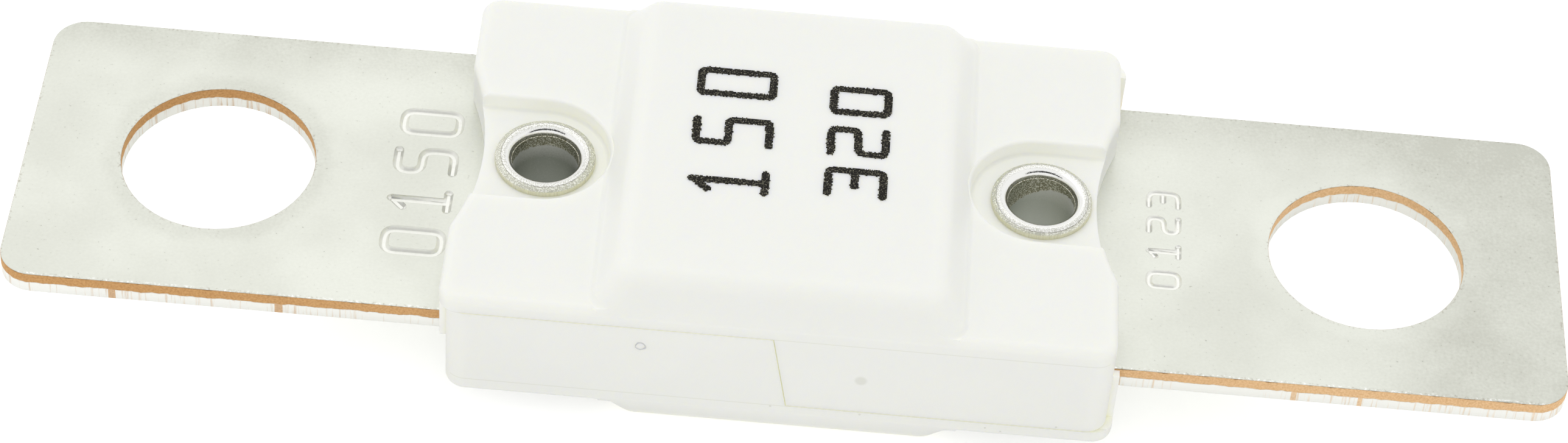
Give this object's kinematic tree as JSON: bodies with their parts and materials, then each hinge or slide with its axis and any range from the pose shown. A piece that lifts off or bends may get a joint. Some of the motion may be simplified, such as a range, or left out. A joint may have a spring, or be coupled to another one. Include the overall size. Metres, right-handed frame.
{
  "type": "bolt-down strip fuse",
  "caption": "Flat tinned copper strip with a bolt hole at each end, its narrow fusing link enclosed in a riveted white moulded housing.",
  "frame": {"origin": "centre of the strip's thickness, midway between the two bolt holes", "axes": "+X along the strip, +Y across it, +Z along the bolt holes and out of the upper half of the housing"},
  "size_m": [0.068, 0.0188, 0.0092],
  "materials": {
    "housing": "smooth moulded, faintly satin",
    "strip": "satin tin plating over copper, bare copper on the sheared edges",
    "tin": "dull tin",
    "eyelet": "bright plated, polished by the rolling tool"
  },
  "bodies": {
    "root": {"upper_housing": "housing", "lower_housing": "housing", "fuse_strip": "strip", "tin_spot": "tin", "left_eyelet": "eyelet", "right_eyelet": "eyelet"}
  },
  "joints": []
}
